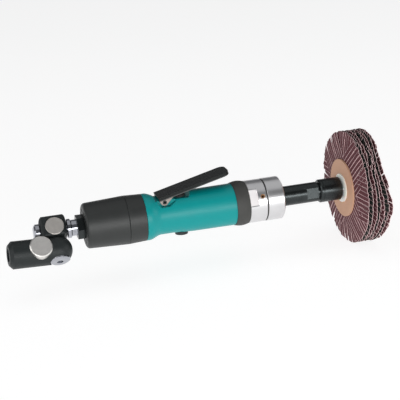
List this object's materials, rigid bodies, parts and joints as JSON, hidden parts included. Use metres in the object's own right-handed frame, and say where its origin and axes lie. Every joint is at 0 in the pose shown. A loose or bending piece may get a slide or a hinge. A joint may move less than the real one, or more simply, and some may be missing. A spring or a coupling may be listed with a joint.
{
  "type": "die grinder",
  "caption": "Straight air die grinder with a throttle lever, geared nose, spindle collet, slit-cloth sanding mop and a two-axis air swivel at the rear.",
  "frame": {"origin": "on the spindle axis, at the front end of the nose collar's plain band", "axes": "+X along the spindle towards the mop, +Z from the spindle axis towards the throttle lever"},
  "size_m": [0.331, 0.1016, 0.1016],
  "materials": {
    "teal_shell": "smooth semi-gloss coated shell",
    "black_sleeve": "satin black moulded",
    "grip_rubber": "matt grey-black rubber",
    "felt": "pressed felt",
    "black_steel": "oiled black oxide, turned",
    "steel": "ground",
    "bright_case": "bright turned",
    "brass": "turned",
    "seal_rubber": "matt black",
    "chrome": "polished",
    "satin_plug": "fine turned satin",
    "black_body": "black anodised, bead blasted",
    "black_lever": "semi-gloss black, worn bare at the ears",
    "vane_composite": "sawn composite",
    "white_nylon": "smooth",
    "tan_fibre": "pressed fibre board",
    "abrasive_cloth": "coated abrasive cloth, slit"
  },
  "bodies": {
    "housing": {"handle_housing": "teal_shell", "rear_sleeve": "black_sleeve", "sleeve_band": "black_sleeve", "muffler_felt": "felt", "inlet_bushing": "black_steel", "motor_cylinder": "steel", "rear_end_plate": "steel", "front_end_plate": "steel", "bearing_outer_rings": "steel", "grip_ring": "grip_rubber", "gear_case": "bright_case", "case_set_screw": "brass", "case_o_ring": "seal_rubber", "nose_cap": "bright_case", "lever_pin": "steel", "valve_bushing": "seal_rubber", "valve_seat_ring": "seal_rubber", "valve_spring": "steel", "regulator_clip": "steel", "swivel_stem": "chrome", "stem_cap": "chrome", "stem_o_rings": "seal_rubber"},
    "lever": {"throttle_lever": "black_lever"},
    "valve": {"valve_stem": "steel"},
    "regulator": {"speed_regulator": "black_steel"},
    "rotor": {"rotor": "steel", "rotor_vanes": "vane_composite", "sun_gear": "steel", "rotor_bearing_inners": "steel"},
    "spindle": {"planet_carrier": "steel", "planet_pins": "steel", "output_spindle": "black_steel", "spindle_bearing_inners": "steel", "collet": "steel", "collet_nut": "black_steel", "mop_arbor": "steel", "hub_bushes": "white_nylon", "front_flange_disc": "tan_fibre", "sanding_sheet_1": "abrasive_cloth", "sanding_sheet_2": "abrasive_cloth", "sanding_sheet_3": "abrasive_cloth", "sanding_sheet_4": "abrasive_cloth", "sanding_sheet_5": "abrasive_cloth", "sanding_sheet_6": "abrasive_cloth", "sanding_sheet_7": "abrasive_cloth", "sheet_spacers": "tan_fibre", "rear_flange_disc": "tan_fibre", "arbor_screw": "steel"},
    "planet_1": {"planet_gear_1": "steel"},
    "planet_2": {"planet_gear_2": "steel"},
    "planet_3": {"planet_gear_3": "steel"},
    "swivel": {"swivel_block": "black_body", "block_plug": "satin_plug", "elbow_bolt": "chrome", "elbow_o_rings": "seal_rubber"},
    "tail": {"swivel_tail": "black_body", "tail_plug": "satin_plug"}
  },
  "joints": [
    {"name": "spindle_spin", "type": "hinge", "parent": "housing", "child": "spindle", "pos_m": [0, 0, 0], "axis": [1, 0, 0], "continuous": true},
    {"name": "rotor_spin", "type": "hinge", "parent": "housing", "child": "rotor", "pos_m": [-0.0257, 0, 0], "axis": [1, 0, 0], "continuous": true},
    {"name": "planet_1_spin", "type": "hinge", "parent": "spindle", "child": "planet_1", "pos_m": [-0.0257, 0, 0.00972], "axis": [1, 0, 0], "continuous": true},
    {"name": "planet_2_spin", "type": "hinge", "parent": "spindle", "child": "planet_2", "pos_m": [-0.0257, -0.00842, -0.00486], "axis": [1, 0, 0], "continuous": true},
    {"name": "planet_3_spin", "type": "hinge", "parent": "spindle", "child": "planet_3", "pos_m": [-0.0257, 0.00842, -0.00486], "axis": [1, 0, 0], "continuous": true},
    {"name": "lever_press", "type": "hinge", "parent": "housing", "child": "lever", "pos_m": [-0.105, 0, 0.0137], "axis": [0, 1, 0], "range_deg": [0, 8], "stiffness_Nm_per_rad": 0.6, "springref_deg": -20.05},
    {"name": "valve_travel", "type": "slide", "parent": "housing", "child": "valve", "axis": [0, 0, -1], "range_m": [0, 0.00215], "deforming": ["valve_spring"]},
    {"name": "regulator_turn", "type": "hinge", "parent": "housing", "child": "regulator", "pos_m": [-0.09, 0, -0.018], "axis": [0, 0, 1], "range_deg": [0, 90]},
    {"name": "swivel_turn", "type": "hinge", "parent": "housing", "child": "swivel", "pos_m": [-0.2004, 0, 0], "axis": [1, 0, 0], "continuous": true},
    {"name": "elbow_turn", "type": "hinge", "parent": "swivel", "child": "tail", "pos_m": [-0.2004, 0, 0], "axis": [0, -0.682, -0.7314], "range_deg": [-105, 105]}
  ],
  "couplings": [
    {"joint": "rotor_spin", "follows": "spindle_spin", "ratio": 4.5},
    {"joint": "planet_1_spin", "follows": "spindle_spin", "ratio": -2.8},
    {"joint": "planet_2_spin", "follows": "spindle_spin", "ratio": -2.8},
    {"joint": "planet_3_spin", "follows": "spindle_spin", "ratio": -2.8},
    {"joint": "lever_press", "follows": "valve_travel", "rad_per_m": 61.728}
  ]
}
